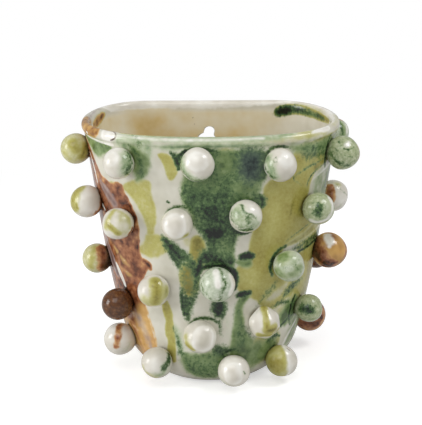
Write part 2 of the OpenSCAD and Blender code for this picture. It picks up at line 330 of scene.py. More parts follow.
# Glaze on the vessel as its name, its level, its fade in millimetres and its corners
AREAS = [
    # Green washes on the front, under the lip and low down
    ("pale", 0.75, 5, [
        (-48, 186), (-45, 199), (-24, 199), (-21, 186), (-23, 176), (-26, 164), (-34, 158), (-38, 178),
    ]),
    ("pale", 0.9, 4, [
        (-26, 188), (-10, 192), (12, 192), (28, 190), (24, 184), (-8, 184), (-14, 182), (-20, 184),
    ]),
    ("pale", 0.72, 3, [(-30, 188), (-30, 202), (40, 202), (40, 188)]),
    ("pale", 0.85, 5, [(-22, 54), (-16, 48), (-14, 36), (-14, 26), (-20, 22), (-23, 38)]),
    ("pale", 0.5, 6, [(4, 60), (12, 60), (13, 30), (6, 30)]),
    ("pale", 0.85, 4, [(7, 161), (22, 160), (23, 151), (18, 147), (8, 149)]),
    ("straw", 0.6, 3, [(-14, 121), (-8, 120), (-6, 116), (-7, 109), (-12, 111)]),
    ("sage", 0.85, 4, FRONT_RUN),
    ("sage", 0.85, 5, LOW_RUN),
    ("sage", 0.75, 6, SIDE_RUN),
    ("sage", 0.8, 4, [(-38, 185), (-29, 186), (-24, 178), (-25, 166), (-31, 157), (-36, 160)]),
    # Olive on the left of the front
    ("olive", 0.6, 2.4, [
        (-46, 152), (-41, 158), (-36, 161), (-31, 162.5), (-25, 162), (-25, 151), (-23.5, 141), (-23.5, 131),
        (-25, 124), (-26, 117), (-32, 116), (-31, 124), (-33, 131), (-35.5, 139), (-39, 146),
    ]),
    ("olive", 0.6, 2.6, [
        (-39, 102), (-38, 109), (-33, 113), (-33, 120), (-25, 121), (-19, 119), (-16, 113), (-18, 106),
        (-22, 103), (-27, 99), (-33, 100),
    ]),
    ("olive", 0.64, 1.8, [
        (-22, 182), (-17, 183), (-13, 179), (-11.5, 171), (-12.5, 164), (-15.5, 160), (-18, 163),
        (-18.5, 171), (-20.5, 177),
    ]),
    ("olive", 0.9, 2.6, [(-8, 120), (-3, 121), (-1, 108), (-2, 96), (-6, 93), (-10, 100), (-9, 110)]),
    ("olive", 1.0, 3, [(-15, 100), (-5, 99), (-5, 74), (-14, 70)]),
    ("olive", 0.95, 5, [(1, 186), (9, 186), (10, 168), (2, 166)]),
    # The large olive field on the right
    ("olive", 0.76, 2.6, [
        (22, 159), (29, 164), (34, 170), (37, 182), (48, 188), (66, 190), (82, 190), (84, 172), (74, 171),
        (64, 168), (58, 164), (54, 158), (52, 150), (52, 140), (52, 131), (56, 124), (64, 120), (54, 114),
        (44, 111), (38, 107), (36, 98), (36, 90), (36, 84), (44, 82), (54, 74), (52, 62), (42, 58), (31, 58),
        (26, 62), (22, 68), (16, 72), (10, 80), (9, 90), (12, 98), (16, 101), (16, 110), (18, 124),
        (19, 134), (21, 146),
    ]),
    ("olive", 0.72, 4, [
        (46, 108), (62, 112), (76, 114), (92, 110), (90, 84), (78, 66), (62, 66), (56, 82), (48, 96),
    ]),
    ("olive", 1.0, 8, [(36, 148), (46, 156), (45, 130), (38, 116), (34, 130)]),
    ("sage", 0.62, 7, [(54, 162), (60, 166), (70, 162), (70, 124), (60, 120), (54, 128), (52, 148)]),
    ("olive", 0.66, 5, [
        (28, 76), (40, 86), (56, 86), (72, 84), (92, 88), (92, 62), (72, 52), (56, 56), (46, 48), (36, 54),
    ]),
    ("olive", 0.72, 4, [(22, 38), (34, 42), (48, 38), (46, 20), (32, 12), (20, 20)]),
    # Soft grey greens under the lip and round the right side
    ("sage", 0.8, 3.4, [
        (-86, 188), (-66, 188), (-48, 187), (-45, 181), (-53, 175), (-60, 170), (-67, 173), (-74, 180),
    ]),
    ("sage", 0.8, 6, [
        (30, 188), (48, 188), (62, 188), (80, 188), (82, 177), (66, 174), (54, 175), (44, 176), (36, 179),
    ]),
    ("sage", 0.9, 9, [(66, 160), (84, 170), (104, 150), (102, 116), (84, 118), (70, 122), (62, 134)]),
    ("sage", 1.0, 5, [(38, 48), (45, 62), (58, 64), (66, 54), (58, 42), (46, 40)]),
    ("sage", 0.75, 8, [(54, 50), (74, 64), (92, 50), (74, 16), (52, 18)]),
    ("sage", 0.85, 3, [
        (11, 73), (21, 75), (18.5, 69), (16.5, 65), (16, 58), (18, 54), (17.5, 48), (21, 41), (26, 36),
        (26, 24), (20, 16), (9, 20), (8, 30), (10, 50),
    ]),
    # Green
    ("green", 0.74, 3.5, FRONT_RUN),
    ("green", 0.98, 9, [
        (7, 186), (16, 187), (23, 184), (22, 170), (19, 159), (13, 158), (9, 165), (8, 176),
    ]),
    ("slate", 0.92, 9, [(9, 184), (16, 186), (22, 183), (22, 170), (19, 159), (13, 158), (10, 166)]),
    ("green", 1.08, 6, [(-5, 129), (4, 129), (7, 122), (5, 114), (-2, 115)]),
    ("green", 0.86, 8, [(-12, 160), (-1, 158), (5, 150), (0, 142), (-9, 145)]),
    ("green", 0.86, 9, [(-7, 150), (3, 152), (7, 138), (6, 124), (-4, 122), (-7, 136)]),
    ("green", 1.0, 6, [(-5, 109), (0, 110), (3, 105), (10, 105), (11, 96), (2, 97), (-5, 97)]),
    ("green", 0.6, 5, LOW_RUN),
    ("green", 0.9, 6, [(-1, 33), (5, 36), (10, 32), (9, 24), (1, 24)]),
    ("green", 0.55, 5, SIDE_RUN),
    ("green", 0.9, 5, [(33, 30), (42, 34), (46, 25), (38, 18)]),
    ("olive", 1.0, 6, [(38, 186), (66, 186), (70, 167), (60, 168), (50, 169), (40, 172)]),
    ("olive", 0.9, 2.4, [(50, 168), (58, 172), (68, 172), (62, 163), (56, 161), (52, 162)]),
    ("green", 0.56, 7, [(36, 188), (60, 189), (80, 188), (72, 166), (60, 168), (50, 168), (42, 168)]),
    # Brown down the left side
    ("brown", 0.72, 2, [
        (-98, 190), (-84, 188), (-76, 184), (-70, 176), (-66, 168), (-62, 160), (-57, 157), (-53, 154),
        (-47, 157), (-43, 155), (-42, 150), (-41, 146), (-38, 140), (-36, 132), (-35, 124), (-35, 118),
        (-36, 112), (-36.5, 104), (-35, 98), (-31, 98), (-29, 94), (-33, 90), (-35, 86), (-38, 80),
        (-38, 70), (-38, 60), (-37, 50), (-35, 40), (-34, 32), (-36, 20), (-46, 10), (-60, 10), (-80, 44),
        (-94, 100), (-100, 150),
    ]),
    ("amber", 0.66, 3, [(-98, 186), (-98, 202), (-78, 204), (-61, 203), (-56, 196), (-57, 187), (-76, 185)]),
    ("amber", 0.6, 3, [(-76, 52), (-62, 46), (-54, 32), (-48, 12), (-62, 6), (-76, 30)]),
    ("amber", 0.5, 5, [(-50, 58), (-38, 66), (-33, 44), (-33, 22), (-42, 12), (-52, 20), (-54, 40)]),
    # The lip
    ("cream", 0.54, 3.4, [(-56, 187), (-56, 203), (-47, 204), (-44, 196), (-44, 187)]),
    ("straw", 0.7, 6, [
        (-10, 187), (-8, 192), (14, 193), (30, 196), (44, 202), (64, 203), (66, 187), (40, 187), (20, 187),
    ]),
    ("olive", 0.45, 4, [(33, 188), (36, 195), (48, 197), (60, 194), (60, 188), (44, 187)]),
    ("straw", 0.5, 6, [(64, 188), (64, 204), (120, 206), (170, 204), (170, 188), (120, 188)]),
    # The wash of the bowl
    ("tan", BOWL_WASH, 4, [(-240, 204), (0, 204), (240, 204), (240, 460), (-240, 460)]),
    ("tan", 0.92, 18, [(-240, 212), (-190, 212), (-166, 222), (-158, 244), (-170, 300), (-240, 300)]),
    ("tan", 0.86, 16, [(-188, 199), (-150, 198), (-140, 214), (-144, 240), (-164, 252), (-186, 246)]),
    ("tan", 0.92, 18, [(240, 212), (190, 212), (180, 222), (170, 238), (168, 262), (174, 300), (240, 300)]),
    ("pale", 0.4, 16, [(110, 236), (120, 380), (30, 380), (40, 250)]),
]
# Runs of glaze: name, level, fade in millimetres, and its line as turn, way along the skin and half
# width in millimetres
RUNS = [
    ("straw", 0.95, 1.6, [
        (36, 107, 1.4), (42, 109.5, 3.2), (51, 113, 4.6), (62, 116, 5), (76, 118, 4.2), (88, 119, 2),
    ]),
    ("straw", 0.9, 1.5, [(-56, 151, 1.6), (-51, 155, 2), (-48, 154, 1)]),
    ("olive", 0.75, 1.6, [
        (-24.5, 68, 2.6), (-23.5, 60, 4.6), (-22.5, 52, 3.2), (-23.5, 44, 4.8), (-22.5, 36, 3.4),
        (-24, 28, 4.6), (-24, 21, 3),
    ]),
    ("olive", 1.0, 1.2, [(-42, 197, 0.8), (-36, 197.6, 1.8), (-26, 198.4, 2.4), (-12, 198.6, 1.4)]),
    ("green", 0.7, 4, [(-35, 186, 2), (-30.5, 178, 3.5), (-29.5, 168, 3.5), (-31, 162, 1.5)]),
    ("green", 0.5, 3, [(-34, 196, 2), (-29, 191, 4), (-30, 186, 4)]),
    ("green", 0.9, 1.5, [(-15, 183, 1.2), (-12.5, 178, 2.6), (-12.5, 173, 1.6)]),
    ("green", 0.8, 1, [(-18, 145.5, 1), (-17, 144.5, 1.1)]),
    ("green", 0.76, 3.4, [
        (-21.5, 117, 3), (-18, 110, 6), (-13, 102, 8), (-9.5, 95, 9), (-9, 86, 9), (-9, 78, 8),
        (-10.5, 70, 6), (-11.5, 63, 5), (-11.5, 55, 3),
    ]),
    ("green", 1.0, 2.4, [(-21, 116, 2.4), (-17.5, 109, 3.4), (-14, 103, 2.4)]),
    ("green", 1.05, 2, [(-14, 78, 1.4), (-14, 68, 2), (-13, 58, 1.6)]),
    ("green", 1.0, 2.4, [(-4, 100, 2), (-5, 94, 3.4), (-7, 86, 2.6), (-7, 76, 2)]),
    ("green", 0.65, 3, [(-21, 48, 1.5), (-18.5, 36, 3), (-17, 27, 4)]),
    ("green", 0.8, 3, [(2, 76, 1.5), (3, 71, 3), (3, 66, 4)]),
    ("green", 1.05, 5, [(3.2, 67, 4.6), (3.2, 63.5, 6.4), (3.2, 60, 4.8)]),
    ("green", 0.58, 3.4, [(3.4, 57, 4), (4, 50, 3.2), (4, 42, 2)]),
    ("green", 1.05, 2.4, [(13, 103, 2.6), (16, 103.5, 3.8), (18.5, 103, 2.8)]),
    ("sage", 0.9, 3, [(12, 99, 3), (16, 98, 4.5)]),
    ("green", 1.0, 2, [(12.5, 73, 2.2), (15, 74, 3), (18.5, 74.5, 2)]),
    ("green", 0.5, 4, [(13, 72, 3), (12.5, 62, 5), (13, 52, 6), (17, 42, 8), (25, 35, 4)]),
    ("green", 0.66, 4, [(40, 102, 2.4), (52, 104.5, 4.6), (64, 106.5, 5.4), (80, 107, 5.4)]),
    ("green", 0.9, 1.4, [(43, 98, 0.8), (52, 100.5, 1.4), (62, 102, 1.6), (72, 103, 1.2)]),
    ("green", 0.7, 1, [(38, 111, 0.6), (45, 115.5, 0.9), (54, 119.5, 0.9), (62, 122, 0.7)]),
    ("green", 0.7, 1.2, [(38, 165, 0.7), (38.5, 159, 1), (42, 156, 0.9), (45, 153, 0.6)]),
    ("green", 0.74, 2.2, [
        (40, 162, 0.8), (46, 165.5, 1.5), (52, 167.5, 1.7), (58, 169, 1.5), (64, 171, 0.8),
    ]),
    ("green", 0.74, 1.8, [(49, 150, 0.8), (49.5, 155, 1.3), (52, 160, 1.4), (57, 163, 1.3), (63, 165, 0.8)]),
    ("green", 0.62, 4, [(24, 64, 1.6), (29, 71, 4), (34, 78, 3.4), (37, 82, 1)]),
    ("green", 0.66, 4, [(41, 65, 2), (46, 71, 5), (52, 75, 5), (60, 76, 2)]),
    ("green", 0.66, 3, [(34, 60, 1.6), (41, 62.5, 3.4), (48, 61, 3)]),
    ("green", 0.75, 2, [(28, 34, 1.2), (38, 39, 2), (48, 45, 2.4), (60, 50, 1.6)]),
    # Green that gathers round the balls, and green that paints shade where marked
    ("green", 0.85, 1.8, [(-11, 50, 1), (-8, 55, 1.5), (-3, 56.6, 1.6), (2, 54, 1.4), (4.4, 48, 1)]),
    ("green", 1.05, 1.8, [
        (-12, 170, 1.4), (-12, 178, 1.8), (-9.5, 184, 1.6), (-5, 186, 1.6), (0, 185, 1.4), (4, 182, 1.2),
    ]),
    ("green", 0.7, 2, [(-20, 130, 1.2), (-18.5, 138, 2), (-13, 142.5, 2.4), (-8, 141, 2)]),
    ("green", 1.05, 2, [
        (-7, 80, 1), (-7, 88, 1.6), (-4.5, 95, 1.8), (2, 97.5, 2), (8, 95, 2.6), (11, 88, 3), (10, 79, 2.4),
    ]),
    ("green", 0.95, 1.8, [(32, 85, 1), (29.5, 92, 1.8), (30.5, 100, 2), (34, 105.5, 1.6), (39, 107.5, 1.2)]),
    ("green", 1.05, 1.8, [(6, 130, 1.2), (9, 122.5, 1.8), (15, 121, 1.8), (19, 126, 1.2)]),
    ("green", 0.9, 3, [(20, 149, 3.4), (22, 145.5, 4), (22, 141, 2.4)]),
    ("sage", 1.05, 4, [(-33, 160, 2), (-29.5, 168, 4), (-30, 178, 4.4), (-34, 185, 2)]),
    ("green", 1.0, 2.2, [(54, 64, 1.4), (51, 56, 2.4), (52, 46, 2), (56, 40, 1)]),
    ("green", 1.05, 2, [(66, 187, 1.2), (63.5, 178, 2), (64.5, 166, 1.6), (67, 160, 1)]),
    # Painted shade on the left of the upper ball at turn 53, in green
    ("green", 0.5, 3.4, [(50, 149, 1), (46.5, 140, 2.4), (47.5, 131, 2.2), (51, 125, 1)]),
    ("green", 0.9, 1.8, [(21, 164, 1), (20, 174, 1.6), (23, 184, 1.6), (28, 186.5, 1.4), (34, 184, 1)]),
    ("green", 0.9, 1.8, [(3, 22, 1), (6, 29, 1.6), (12, 31.5, 1.6), (17, 28, 1.2)]),
    ("green", 0.95, 1.8, [(32, 22, 1.2), (33, 32, 1.8), (40, 36.5, 1.8), (46, 34, 1)]),
    # Painted shade along the lip's inner edge, in green
    ("green", 0.9, 1, [(-16, 198, 0.8), (0, 198, 1.1), (20, 198, 1.1), (34, 198, 0.8)]),
    # Streaks in the brown
    ("brown", 1.1, 2, [(-86, 190, 1.6), (-79, 178, 2), (-74, 166, 2), (-72, 150, 1.2)]),
    ("brown", 1.0, 1.8, [
        (-48, 148, 0.8), (-41, 141, 1.4), (-37.5, 132, 1.6), (-36.5, 124, 1.4), (-37, 114, 1),
    ]),
    ("brown", 1.15, 4, [(-60, 78, 2), (-52, 68, 5), (-48, 56, 4), (-46, 50, 2)]),
    ("brown", 1.15, 1.8, [(-35, 97.5, 1.6), (-32, 94.5, 2.4), (-31, 91.5, 1.2)]),
    ("brown", 0.95, 3, [(-57, 128, 2), (-60, 118, 2.4), (-52, 108, 3), (-44, 108, 2)]),
    ("amber", 0.7, 4.5, [(-54, 96, 1.2), (-50, 92, 2), (-47, 90, 1.2)]),
    ("amber", 0.7, 4.5, [(-55, 86, 1), (-51, 84.5, 1.8), (-46, 82, 1)]),
    ("amber", 0.66, 4, [(-60, 102, 1), (-57, 99, 1.8)]),
    ("cream", 0.4, 3, [(-52, 94.5, 0.6), (-50.5, 93, 0.9)]),
    ("cream", 0.4, 3, [(-53, 85.6, 0.6), (-49, 84.5, 0.9)]),
    ("amber", 0.7, 2, [(-38, 60, 0.8), (-36.5, 48, 1.2), (-34.5, 36, 1.4), (-36, 24, 1.4)]),
    ("lilac", 0.85, 3.4, [(-63, 152, 2.5), (-58, 145, 4.5), (-52, 138, 4)]),
    ("lilac", 0.9, 2.4, [(-82, 166, 2), (-77, 148, 3), (-75, 132, 3.5), (-71, 118, 3)]),
    ("lilac", 1.0, 3, [(-72, 106, 3), (-67, 92, 4.5), (-62, 80, 4)]),
    ("lilac", 0.6, 5, [(-50, 56, 3), (-45, 46, 6.5), (-41.5, 34, 6), (-41, 26, 4)]),
    ("lilac", 0.62, 2, [
        (-122, 197, 1.6), (-106, 198.6, 2), (-92, 199.4, 2), (-80, 200, 2), (-68, 201, 1.5),
    ]),
    ("cream", 0.54, 1.4, [(-74, 172, 0.8), (-70, 160, 1.4), (-69, 150, 1)]),
    ("cream", 0.54, 1.2, [(-66, 133, 1.2), (-64, 130, 1)]),
    ("cream", 0.57, 1.6, [(-61, 88, 1.4), (-57, 79, 2.6), (-54.5, 72, 1.2)]),
    ("cream", 0.51, 1.2, [(-82, 187, 0.7), (-64, 185.5, 0.9), (-46, 184.5, 1.1)]),
    ("cream", 0.34, 2.4, [
        (52, 152, 1), (53, 155.5, 1.6), (58, 158, 2), (64, 160, 2.6), (70, 161.5, 2.4), (78, 164, 1.6),
    ]),
    # A painted highlight in cream, to the right of the nugget
    ("cream", 0.42, 3, [(64, 40, 2), (56, 32, 3), (50, 22, 2.4)]),
    # Marks on the lip
    ("brown", 1.1, 1, [(-85, 192, 0.9), (-84, 191, 0.9)]),
    ("brown", 1.1, 1, [(-77, 190, 1), (-75, 189.5, 0.8)]),
    ("brown", 1.1, 1, [(-70, 194, 0.9), (-69, 193, 0.9)]),
    ("brown", 1.0, 1.2, [(-64, 198, 1), (-63, 192, 1.2)]),
    ("cream", 0.6, 0.8, [(-80, 191, 0.7), (-79, 189.5, 0.7)]),
    ("cream", 0.6, 0.8, [(-69.5, 189.5, 0.8), (-68.5, 189, 0.8)]),
    ("dark", 0.62, 0.9, [(-53, 198.6, 0.6), (-48.5, 197.8, 1), (-44.5, 195.8, 1.1), (-42.5, 193, 0.8)]),
    ("dark", 0.62, 0.9, [(-42.5, 191.6, 0.8), (-43.5, 190, 1.1), (-46, 188.4, 0.9)]),
    # A painted highlight along the lip's front, in cream
    ("cream", 0.36, 3, [(-44, 193, 2.4), (-20, 193, 2.6), (0, 193, 2.6), (20, 193.4, 2.2)]),
    ("cream", 0.5, 3, [(48, 194, 2), (54, 195, 3.4), (62, 194, 3)]),
    ("cream", 0.36, 3, [(60, 197, 2.4), (76, 199, 4), (96, 199, 4), (116, 198, 3)]),
    ("tan", 0.8, 3, [(56, 190, 1.6), (58, 194, 2.4), (60, 198, 2)]),
    ("brown", 0.62, 1.2, [(152, 197, 0.8), (145, 197, 1.3), (138, 197, 0.7)]),
    ("brown", 0.66, 1.2, [(132, 197, 0.7), (125, 197.5, 1.3), (118, 198, 0.7)]),
    # Marks in the bowl
    ("cream", 0.6, 4, [(-240, 199, 5), (-150, 199, 5), (-134, 199, 4)]),
    ("cream", 0.6, 4, [
        (240, 199, 5), (200, 199, 5), (176, 198, 4), (168, 197, 2), (140, 196.5, 2), (100, 196.5, 2),
    ]),
    ("cream", 0.5, 1.5, [(-12, 205, 3), (0, 205, 3), (44, 205, 3), (90, 205, 3)]),
    ("olive", 1.0, 1.6, [
        (171, 206.4, 4.2), (167, 205.4, 5), (160, 204.2, 4.6), (150, 203.6, 4), (138, 204, 3.8),
        (124, 204.6, 3.4), (110, 204.6, 2.8), (96, 203.6, 1.6),
    ]),
    ("green", 0.8, 3, [
        (171, 206.4, 4), (167, 205.4, 5), (160, 204.2, 4.6), (150, 203.8, 3.8), (138, 204.4, 3.2),
        (124, 205, 2.6), (110, 205, 1.8),
    ]),
    ("green", 1.2, 4, [(171, 206.6, 3.4), (167, 205.6, 4.4), (160, 204.8, 3.6)]),
    ("olive", 0.7, 2, [(-125, 202.6, 2.6), (-117, 204.4, 4.4), (-107, 206, 4.4), (-99, 206.4, 3)]),
    ("amber", 0.8, 2, [(-124, 202.6, 1.8), (-116, 204.6, 3.6), (-106, 206.4, 3.6), (-99, 206.6, 2.2)]),
    ("brown", 0.74, 1.6, [(-121, 203, 1.2), (-114, 204.4, 2.2), (-106, 205.4, 2), (-100, 205.4, 1)]),
    ("olive", 0.8, 4, [(60, 232, 4), (54, 260, 6), (58, 290, 3)]),
    ("green", 0.75, 4, [(8, 230, 5), (4, 262, 6), (8, 300, 3)]),
    # The far sides and the back
    ("olive", 0.72, 4, [(-112, 188, 5), (-114, 150, 7), (-117, 110, 6), (-112, 66, 3)]),
    ("green", 0.8, 4, [(-138, 190, 4), (-140, 160, 6), (-139, 124, 4), (-141, 100, 2)]),
    ("brown", 0.75, 3, [(-168, 189, 3), (-170, 164, 5), (-169, 136, 2.5)]),
    ("pale", 0.75, 6, [(-192, 186, 8), (-190, 140, 10), (-194, 90, 6)]),
    ("green", 0.78, 4, [(184, 189, 3), (186, 164, 6), (184, 130, 5), (187, 100, 2)]),
    ("olive", 0.72, 4, [(156, 189, 5), (158, 150, 8), (156, 100, 5), (160, 64, 3)]),
    ("green", 0.8, 4, [(124, 190, 5), (122, 160, 7), (124, 120, 5), (121, 84, 3)]),
    ("sage", 0.8, 6, [(104, 186, 8), (108, 150, 10), (106, 90, 8)]),
    ("pale", 0.8, 5, [(118, 188, 5), (140, 187, 7), (160, 188, 5), (184, 187, 8), (205, 188, 6)]),
    ("straw", 0.8, 4, [(-128, 189, 4), (-140, 188, 6), (-160, 189, 4), (-174, 188, 6)]),
]
# Specks in the bowl as level, turn and way along the skin, and their half width, length and fade
SPECKS = [(0.7, -194, 211.5), (0.7, -194.5, 216), (0.6, -188, 217.5), (0.6, -190, 224)]
SPECK_W = 0.6
SPECK_L = 0.5
SPECK_FADE = 0.7
RUNS += [
    ("dark", level, SPECK_FADE, [(turn, way, SPECK_W), (turn, way + SPECK_L, SPECK_W)])
    for level, turn, way in SPECKS
]
# Places where a glaze lies thinner: name, the share that is gone, fade and corners, as above
THINNED = [
    ("green", 0.35, 7, [(-12, 168), (-2, 166), (2, 160), (0, 155), (-10, 156)]),
    ("green", 0.6, 5, [(1, 184), (8, 184), (9, 168), (2, 166)]),
    ("green", 0.45, 6, [(8, 161), (22, 160), (21, 150), (9, 149)]),
    ("green", 0.2, 6, [(-1, 165), (10, 165), (10, 151), (0, 151)]),
    ("green", 0.35, 4, [(2, 117), (8, 119), (8, 105), (3, 106)]),
    ("green", 0.55, 4, [(-14, 98), (-7, 96), (-7, 74), (-13, 72)]),
    ("green", 0.25, 4, [(-8, 138), (-3, 137), (-3, 128), (-7, 128)]),
    ("green", 0.25, 3, [(-20, 24), (8, 25), (9, 21), (-20, 20)]),
    ("green", 0.85, 6, [(15, 30), (30, 34), (44, 28), (36, 6), (12, 6)]),
    ("olive", 0.2, 5, [(25, 140), (34, 138), (30, 112), (24, 114)]),
    ("olive", 0.2, 4, [(12, 92), (22, 92), (24, 78), (14, 80)]),
    ("olive", 0.45, 3, [(27, 66), (31, 72), (38, 78), (46, 82), (46, 75), (40, 68), (34, 63)]),
    ("olive", 0.4, 3, [(36, 57), (40, 63), (47, 67), (52, 66), (46, 59), (41, 55)]),
    ("tan", 0.6, 22, [(154, 192), (60, 192), (60, 300), (154, 300)]),
    ("brown", 0.3, 8, [(-62, 56), (-36, 64), (-33, 20), (-62, 8)]),
    ("brown", 0.25, 4, [(-62, 176), (-56, 168), (-60, 156), (-68, 160)]),
]


def laid(canvas, level, fade, stops):
    """The strength over the canvas of an area from its corners, or of a run from the line and the
    half widths that its stops give."""
    is_run = len(stops[0]) == 3
    line = [(*canvas.place(turn, way * MM), *(width * MM for width in rest)) for turn, way, *rest in stops]
    line = flowing(line, closed=not is_run)
    reach = fade * MM + (line[:, 2].max() if is_run else 0)
    low, high = line[:, :2].min(0) - reach, line[:, :2].max(0) + reach
    close = ((canvas.points > low) & (canvas.points < high)).all(1)
    points = canvas.points[close]
    depth = depth_in_run(points, line[:, :2], line[:, 2]) if is_run else depth_in_area(points, line)
    found = np.zeros(len(canvas.points))
    found[close] = strength(depth, level, fade * MM)
    return found


def paint_vessel(canvas):
    """The strength of each glaze at each point of the vessel's skin."""
    painted = {name: np.zeros(len(canvas.points)) for name in LAYERS}
    for name, level, fade, stops in AREAS + RUNS:
        painted[name] = np.maximum(painted[name], laid(canvas, level, fade, stops))
    for name, share, fade, corners in THINNED:
        painted[name] *= 1 - laid(canvas, share, fade, corners)
    return painted


def placed(name, data):
    """A new object in the scene."""
    made = bpy.data.objects.new(name, data)
    bpy.context.scene.collection.objects.link(made)
    return made


def from_bmesh(name, mesh):
    """A new object in the scene from a bmesh, which is used up."""
    data = bpy.data.meshes.new(name)
    mesh.to_mesh(data)
    mesh.free()
    return placed(name, data)


def new_mesh(name, points, faces, painted):
    """A smooth mesh that carries the strength of each glaze at its points."""
    mesh = bpy.data.meshes.new(name)
    mesh.from_pydata(points.tolist(), [], faces)
    for layer, values in painted.items():
        mesh.attributes.new(layer, "FLOAT", "POINT").data.foreach_set("value", values.astype(np.float32))
    mesh.shade_smooth()
    return placed(name, mesh)


def bands(starts):
    """Four-sided faces between rings, which are given by the numbers of their first points."""
    i = np.arange(COLUMNS)
    after = (i + 1) % COLUMNS
    pairs = zip(starts, starts[1:])
    return np.vstack([np.stack([a + i, a + after, b + after, b + i], 1) for a, b in pairs]).tolist()


def disc(ring, first, start, upwards):
    """Points and faces that close a ring to its middle, with start as the first new point's number."""
    middle = ring.mean(0) * [0, 0, 1]
    shares = [1 - k / DISC_STEPS for k in range(1, DISC_STEPS)]
    points = np.vstack([middle + (ring - middle) * share for share in shares] + [middle[None]])
    starts = [first] + [start + k * COLUMNS for k in range(DISC_STEPS - 1)]
    centre = starts[-1] + COLUMNS
    inmost = [[starts[-1] + k, starts[-1] + (k + 1) % COLUMNS, centre] for k in range(COLUMNS)]
    faces = bands(starts) + inmost
    return points, faces if upwards else [f[::-1] for f in faces]


def keyhole_cutter():
    """A solid that cuts the keyhole: a slot with a round end over a round opening."""
    half, radius = KEYHOLE_SLOT_W / 2, KEYHOLE_HEAD_D / 2
    meet = math.degrees(math.acos(half / radius))
    top = [
        (half * math.cos(a), half * math.sin(a))
        for a in np.radians(np.linspace(0, 180, SLOT_STEPS + 1))
    ]
    low = [
        (radius * math.cos(a), radius * math.sin(a) - KEYHOLE_TRAVEL)
        for a in np.radians(np.linspace(180 - meet, 360 + meet, HEAD_STEPS + 1))
    ]
    lean = math.radians(KEYHOLE_LEAN)
    flat = [
        (u * math.cos(lean) + w * math.sin(lean) + KEYHOLE_X, w * math.cos(lean) - u * math.sin(lean))
        for u, w in top + low
    ]
    reach = 2 * WALL_T
    mesh = bmesh.new()
    middle_z = BODY_H - KEYHOLE_DROP
    face = mesh.faces.new([mesh.verts.new((x, BACK_REACH - reach, middle_z + z)) for x, z in flat])
    made = bmesh.ops.extrude_face_region(mesh, geom=[face])["geom"]
    moved = [v for v in made if isinstance(v, bmesh.types.BMVert)]
    bmesh.ops.translate(mesh, verts=moved, vec=(0, 2 * reach, 0))
    bmesh.ops.recalc_face_normals(mesh, faces=mesh.faces)
    return from_bmesh("keyhole_cutter", mesh)


def cut_keyhole(vessel):
    """Cuts the keyhole through the vessel's back."""
    cutter = keyhole_cutter()
    cut = vessel.modifiers.new("keyhole", "BOOLEAN")
    cut.operation = "DIFFERENCE"
    cut.object = cutter
    cut.solver = "MANIFOLD"
    ready = vessel.evaluated_get(bpy.context.evaluated_depsgraph_get())
    mesh = bpy.data.meshes.new_from_object(ready)
    vessel.modifiers.clear()
    vessel.data = mesh
    bpy.data.objects.remove(cutter)


def make_vessel():
    """The vessel with its glazes, from its skin and the discs that close the foot and the floor."""
    canvas = Canvas()
    painted = paint_vessel(canvas)
    points = np.vstack(canvas.rings)
    faces = bands([j * COLUMNS for j in range(len(canvas.rings))])
    foot_points, foot_faces = disc(canvas.rings[0], 0, len(points), upwards=False)
    points = np.vstack([points, foot_points])
    last = (len(canvas.rings) - 1) * COLUMNS
    floor_points, floor_faces = disc(canvas.rings[-1], last, len(points), upwards=True)
    points = np.vstack([points, floor_points])
    for name in LAYERS:
        foot = np.full(len(foot_points), 1.0 if name == "clay" else 0.0)
        floor = np.full(len(floor_points), BOWL_WASH if name == "tan" else 0.0)
        painted[name] = np.concatenate([painted[name], foot, floor])
    # Darker where glaze gathers round the balls' seats, which also paints the shade where they meet the wall
    painted[POOL_AND_SHADE] = pooled(points)
    vessel = new_mesh("glazed_vessel", points, faces + foot_faces + floor_faces, painted)
    cut_keyhole(vessel)
    vessel.data.materials.clear()
    vessel.data.materials.append(glaze_material("vessel"))
    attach(vessel, "root")
    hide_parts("vessel")


# Direction from the object to a person who looks at its front from a little above. Marks on a
# ball are placed as that person sees it: to the right and up, from -1 to 1 across the ball.
SEEN_FROM = np.array([0.0, -0.954, 0.299])
SEEN_RIGHT = np.array([1.0, 0.0, 0.0])
SEEN_UP = np.array([0.0, 0.299, 0.954])


def seen(x, y):
    """The direction from a ball's middle to the place on it that is seen at x, y."""
    towards = math.sqrt(max(0.0, 1 - x * x - y * y))
    return SEEN_RIGHT * x + SEEN_UP * y + SEEN_FROM * towards
